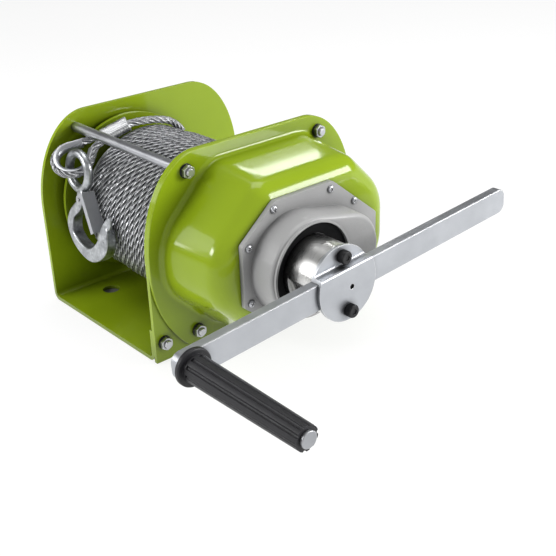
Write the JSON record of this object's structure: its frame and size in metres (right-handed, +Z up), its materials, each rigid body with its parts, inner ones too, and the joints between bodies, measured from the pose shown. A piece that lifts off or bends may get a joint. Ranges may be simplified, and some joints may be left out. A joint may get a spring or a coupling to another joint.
{
  "type": "hand winch",
  "caption": "Hand winch: a wire rope drum in a bent plate frame, turned through a covered spur gear train and a load brake by a sliding crank with a turning grip.",
  "frame": {"origin": "centre of the base's bolt pattern, on the underside of the base", "axes": "+Z up from the base, +X along the drum's axis towards the crank, -Y the way the rope leaves"},
  "size_m": [0.4838, 0.4048, 0.2],
  "materials": {
    "green_paint": "gloss",
    "grey_paint": "satin",
    "zinc_steel": "satin",
    "machined_steel": "turned",
    "forged_steel": "galvanised",
    "rope_steel": "stranded",
    "black_steel": "black oxide",
    "bronze": "plain",
    "friction": "matt",
    "black_rubber": "matt",
    "black_plastic": "matt"
  },
  "bodies": {
    "frame": {"frame": "green_paint", "gear_side_plate": "green_paint", "gear_cover": "green_paint", "brake_cover": "grey_paint", "cover_seal": "black_rubber", "cover_top_screws": "zinc_steel", "far_tie_rod_screw": "zinc_steel", "cover_bottom_screws": "zinc_steel", "corner_screws": "zinc_steel", "brake_cover_screws": "zinc_steel", "tie_rod": "zinc_steel", "drum_bush_far": "bronze", "drum_bush_near": "bronze", "countershaft_bush_inner": "bronze", "countershaft_bush_outer": "bronze", "crank_bush_outer": "bronze", "friction_disc_inner": "friction", "friction_disc_outer": "friction", "ratchet_wheel": "machined_steel", "pawl_pin": "machined_steel", "ferrule": "zinc_steel", "rope_lead": "rope_steel", "rope_eye": "rope_steel", "thimble": "zinc_steel"},
    "drum": {"drum_flange_far": "green_paint", "drum_flange_near": "green_paint", "drum_barrel": "green_paint", "rope_core": "rope_steel", "rope_winding": "rope_steel", "drum_shaft": "machined_steel", "drum_circlip": "black_steel", "drum_gear": "machined_steel", "crank_bush_inner": "bronze"},
    "countershaft": {"countershaft": "machined_steel", "intermediate_gear": "machined_steel"},
    "crank": {"crank_shaft": "machined_steel", "pressure_disc": "machined_steel", "crank_hub": "machined_steel", "hub_set_screw": "black_steel", "bar_clamp": "zinc_steel", "clamp_screws": "black_steel"},
    "bar": {"crank_bar": "zinc_steel", "grip_pin": "zinc_steel"},
    "grip": {"grip": "black_plastic"},
    "pawl": {"pawl": "machined_steel", "pawl_spring": "machined_steel"},
    "hook": {"hook": "forged_steel", "latch_pin": "zinc_steel"},
    "latch": {"hook_latch": "zinc_steel"}
  },
  "joints": [
    {"name": "drum_spin", "type": "hinge", "parent": "frame", "child": "drum", "pos_m": [0, -0.025, 0.102], "axis": [1, 0, 0], "continuous": true},
    {"name": "countershaft_spin", "type": "hinge", "parent": "frame", "child": "countershaft", "pos_m": [0, 0.035, 0.102], "axis": [1, 0, 0], "continuous": true},
    {"name": "crank_spin", "type": "hinge", "parent": "frame", "child": "crank", "pos_m": [0, -0.025, 0.102], "axis": [1, 0, 0], "continuous": true},
    {"name": "bar_slide", "type": "slide", "parent": "crank", "child": "bar", "axis": [0, -0.9976, -0.0698], "range_m": [-0.11, 0.18]},
    {"name": "grip_spin", "type": "hinge", "parent": "bar", "child": "grip", "pos_m": [0, -0.19159, 0.09035], "axis": [1, 0, 0], "continuous": true},
    {"name": "pawl_lift", "type": "hinge", "parent": "frame", "child": "pawl", "pos_m": [0, 0.02948, 0.11268], "axis": [1, 0, 0], "range_deg": [0, 12], "stiffness_Nm_per_rad": 0.05, "springref_deg": -17.19},
    {"name": "hook_swing", "type": "hinge", "parent": "frame", "child": "hook", "pos_m": [-0.04839, -0.10703, 0.15025], "axis": [0.0031, -0.993, 0.1177], "range_deg": [0, 50]},
    {"name": "latch_open", "type": "hinge", "parent": "hook", "child": "latch", "pos_m": [-0.0387, -0.10986, 0.1261], "axis": [0.0031, -0.993, 0.1177], "range_deg": [-35, 0], "stiffness_Nm_per_rad": 0.02, "springref_deg": 20.05}
  ],
  "couplings": [
    {"joint": "countershaft_spin", "follows": "drum_spin", "ratio": -3},
    {"joint": "crank_spin", "follows": "drum_spin", "ratio": 9.8571}
  ]
}
